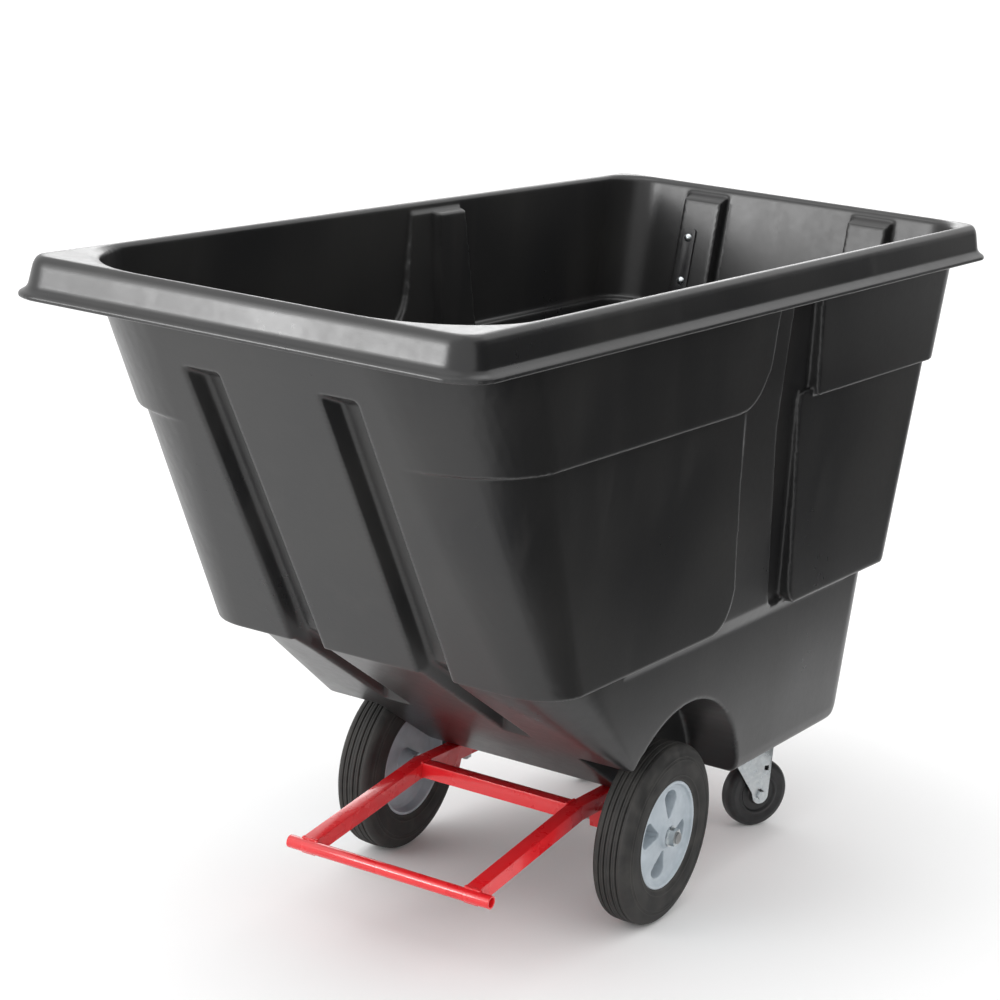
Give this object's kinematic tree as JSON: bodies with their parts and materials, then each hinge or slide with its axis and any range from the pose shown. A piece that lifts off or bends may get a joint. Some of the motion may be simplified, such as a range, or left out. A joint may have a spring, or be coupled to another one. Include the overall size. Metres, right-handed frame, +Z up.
{
  "type": "tilt truck",
  "caption": "Tilt truck: a deep black plastic hopper with a sloping dump end on a red tube frame, with main wheels on a fixed axle, swivel casters at the rear and a push handle.",
  "frame": {"origin": "on the ground below the middle of the bounding box", "axes": "+X towards the side of the right-hand wheel as seen from the dump end, +Y along the length from the sloping dump end to the push handle, +Z up"},
  "size_m": [0.776, 1.834, 1.096],
  "materials": {
    "polyethylene": "rotomoulded black polyethylene with a soft mottled sheen",
    "frame_paint": "gloss red powder coat",
    "zinc": "bright zinc plate",
    "axle_steel": "plain turned steel",
    "tyre_rubber": "ribbed solid rubber",
    "hub_plastic": "satin blue-grey moulding",
    "caster_wheel": "smooth black moulded wheel",
    "handle_paint": "satin black powder coat"
  },
  "bodies": {
    "truck": {"hopper": "polyethylene", "rail_left": "frame_paint", "rail_right": "frame_paint", "front_cross_tube": "frame_paint", "rear_cross_tube": "frame_paint", "front_bar": "frame_paint", "axle_bracket_left": "frame_paint", "axle_bracket_right": "frame_paint", "caster_mount_left": "frame_paint", "caster_mount_right": "frame_paint", "floor_bolts": "zinc", "floor_washers": "zinc", "floor_nuts": "zinc", "axle": "axle_steel", "axle_spacers": "zinc", "axle_washers": "zinc", "axle_nuts": "zinc", "caster_bolts": "zinc", "caster_nuts": "zinc", "push_handle": "handle_paint", "handle_plate_left": "handle_paint", "handle_plate_right": "handle_paint", "handle_bolts": "zinc", "handle_nuts": "zinc", "caster_plate_left": "zinc", "caster_kingpin_left": "zinc", "caster_plate_right": "zinc", "caster_kingpin_right": "zinc"},
    "wheel_left": {"tyre_left": "tyre_rubber", "hub_left": "hub_plastic", "bushing_left": "axle_steel"},
    "wheel_right": {"tyre_right": "tyre_rubber", "hub_right": "hub_plastic", "bushing_right": "axle_steel"},
    "caster_left": {"caster_fork_left": "zinc", "caster_axle_bolt_left": "zinc", "caster_axle_nut_left": "zinc", "caster_sleeve_left": "axle_steel"},
    "caster_left_wheel": {"caster_wheel_left": "caster_wheel"},
    "caster_right": {"caster_fork_right": "zinc", "caster_axle_bolt_right": "zinc", "caster_axle_nut_right": "zinc", "caster_sleeve_right": "axle_steel"},
    "caster_right_wheel": {"caster_wheel_right": "caster_wheel"}
  },
  "joints": [
    {"name": "wheel_left_spin", "type": "hinge", "parent": "truck", "child": "wheel_left", "pos_m": [-0.247, -0.014, 0.1524], "axis": [1, 0, 0], "continuous": true},
    {"name": "wheel_right_spin", "type": "hinge", "parent": "truck", "child": "wheel_right", "pos_m": [0.247, -0.014, 0.1524], "axis": [1, 0, 0], "continuous": true},
    {"name": "caster_left_swivel", "type": "hinge", "parent": "truck", "child": "caster_left", "pos_m": [-0.166, 0.475, 0.15], "axis": [0, 0, 1], "continuous": true},
    {"name": "caster_left_roll", "type": "hinge", "parent": "caster_left", "child": "caster_left_wheel", "pos_m": [-0.15426, 0.51114, 0.0635], "axis": [0.9511, -0.309, 0], "continuous": true},
    {"name": "caster_right_swivel", "type": "hinge", "parent": "truck", "child": "caster_right", "pos_m": [0.166, 0.475, 0.15], "axis": [0, 0, 1], "continuous": true},
    {"name": "caster_right_roll", "type": "hinge", "parent": "caster_right", "child": "caster_right_wheel", "pos_m": [0.185, 0.50791, 0.0635], "axis": [0.866, -0.5, 0], "continuous": true}
  ]
}
